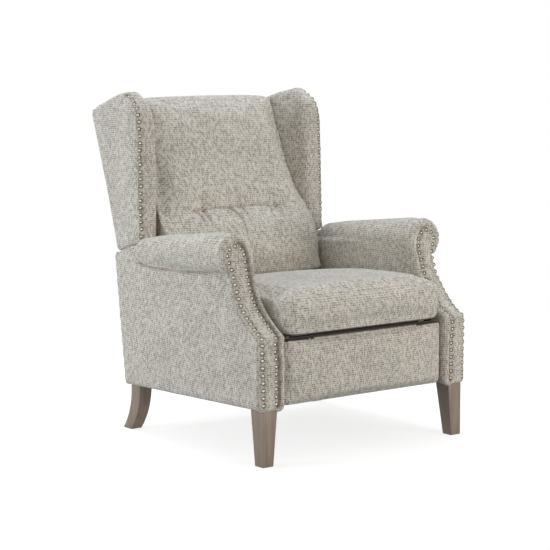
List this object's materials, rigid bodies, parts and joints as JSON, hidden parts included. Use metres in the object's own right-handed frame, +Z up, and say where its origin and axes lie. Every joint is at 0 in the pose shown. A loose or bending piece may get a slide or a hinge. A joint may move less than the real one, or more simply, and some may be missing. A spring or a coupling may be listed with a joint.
{
  "type": "wingback recliner",
  "caption": "Push-back wing recliner with rolled arms, a tufted back between two wings, a seat cushion, wooden legs and a footrest that swings out from under the seat.",
  "frame": {"origin": "centre of the footprint of the overall box, on the floor", "axes": "+Z up, the chair faces -Y, +X is the sitter's left"},
  "size_m": [0.84, 0.9556, 1.03],
  "materials": {
    "upholstery": "woven light greige tweed with darker flecks, matte",
    "leg_wood": "taupe stained wood, satin",
    "frame_wood": "raw frame timber and plywood, matte",
    "mechanism_steel": "dark powder coat over stamped steel"
  },
  "bodies": {
    "base": {"arm_panel_left": "frame_wood", "arm_panel_right": "frame_wood", "arm_cover_left": "upholstery", "arm_cover_right": "upholstery", "front_leg_left": "leg_wood", "front_leg_right": "leg_wood", "rear_leg_left": "leg_wood", "rear_leg_right": "leg_wood", "front_stretcher": "frame_wood", "rear_stretcher": "frame_wood", "rear_panel": "upholstery", "base_plate_left": "mechanism_steel", "base_plate_right": "mechanism_steel", "seat_track_left": "mechanism_steel", "seat_track_right": "mechanism_steel"},
    "seat": {"seat_runner_left": "mechanism_steel", "seat_runner_right": "mechanism_steel", "seat_plate_left": "mechanism_steel", "seat_plate_right": "mechanism_steel", "seat_side_rail_left": "frame_wood", "seat_side_rail_right": "frame_wood", "seat_front_rail": "frame_wood", "seat_rear_rail": "frame_wood", "seat_spring_1": "mechanism_steel", "seat_spring_2": "mechanism_steel", "seat_spring_3": "mechanism_steel", "seat_spring_4": "mechanism_steel", "seat_spring_5": "mechanism_steel", "seat_cushion": "upholstery"},
    "front_links": {"front_link_left": "mechanism_steel", "front_link_right": "mechanism_steel"},
    "rear_links": {"rear_link_left": "mechanism_steel", "rear_link_right": "mechanism_steel", "footrest_tube": "mechanism_steel"},
    "long_links": {"long_link_left": "mechanism_steel", "long_link_right": "mechanism_steel"},
    "short_links": {"short_link_left": "mechanism_steel", "short_link_right": "mechanism_steel"},
    "footrest": {"footrest_bracket_left": "mechanism_steel", "footrest_bracket_right": "mechanism_steel", "footrest_board": "frame_wood", "footrest_pad": "upholstery"},
    "back": {"back_post_left": "frame_wood", "back_post_right": "frame_wood", "back_bottom_rail": "frame_wood", "back_top_rail": "frame_wood", "back_mid_rail": "frame_wood", "back_bracket_left": "mechanism_steel", "back_bracket_right": "mechanism_steel", "outer_back": "upholstery", "wing_board_left": "frame_wood", "wing_board_right": "frame_wood", "wing_left": "upholstery", "wing_right": "upholstery", "back_cushion": "upholstery"}
  },
  "joints": [
    {"name": "recline", "type": "hinge", "parent": "base", "child": "back", "pos_m": [0, 0.13516, 0.345], "axis": [-1, 0, 0], "range_deg": [0, 28]},
    {"name": "seat_slide", "type": "slide", "parent": "base", "child": "seat", "axis": [0, -1, 0], "range_m": [0, 0.05]},
    {"name": "front_link_pivot", "type": "hinge", "parent": "seat", "child": "front_links", "pos_m": [0, -0.36984, 0.308], "axis": [-1, 0, 0], "range_deg": [0, 84]},
    {"name": "rear_link_pivot", "type": "hinge", "parent": "seat", "child": "rear_links", "pos_m": [0, -0.31984, 0.308], "axis": [-1, 0, 0], "range_deg": [0, 84]},
    {"name": "long_link_pivot", "type": "hinge", "parent": "front_links", "child": "long_links", "pos_m": [0, -0.28174, 0.1992], "axis": [-1, 0, 0], "range_deg": [-84, 0]},
    {"name": "short_link_pivot", "type": "hinge", "parent": "rear_links", "child": "short_links", "pos_m": [0, -0.20782, 0.16967], "axis": [-1, 0, 0], "range_deg": [-84, 0]},
    {"name": "footrest_pivot", "type": "hinge", "parent": "long_links", "child": "footrest", "pos_m": [0, -0.40974, 0.2892], "axis": [-1, 0, 0], "range_deg": [0, 84]}
  ],
  "couplings": [
    {"joint": "seat_slide", "follows": "recline", "m_per_rad": 0.10231},
    {"joint": "front_link_pivot", "follows": "recline", "ratio": 3},
    {"joint": "rear_link_pivot", "follows": "recline", "ratio": 3},
    {"joint": "long_link_pivot", "follows": "recline", "ratio": -3},
    {"joint": "short_link_pivot", "follows": "recline", "ratio": -3},
    {"joint": "footrest_pivot", "follows": "recline", "ratio": 3}
  ]
}
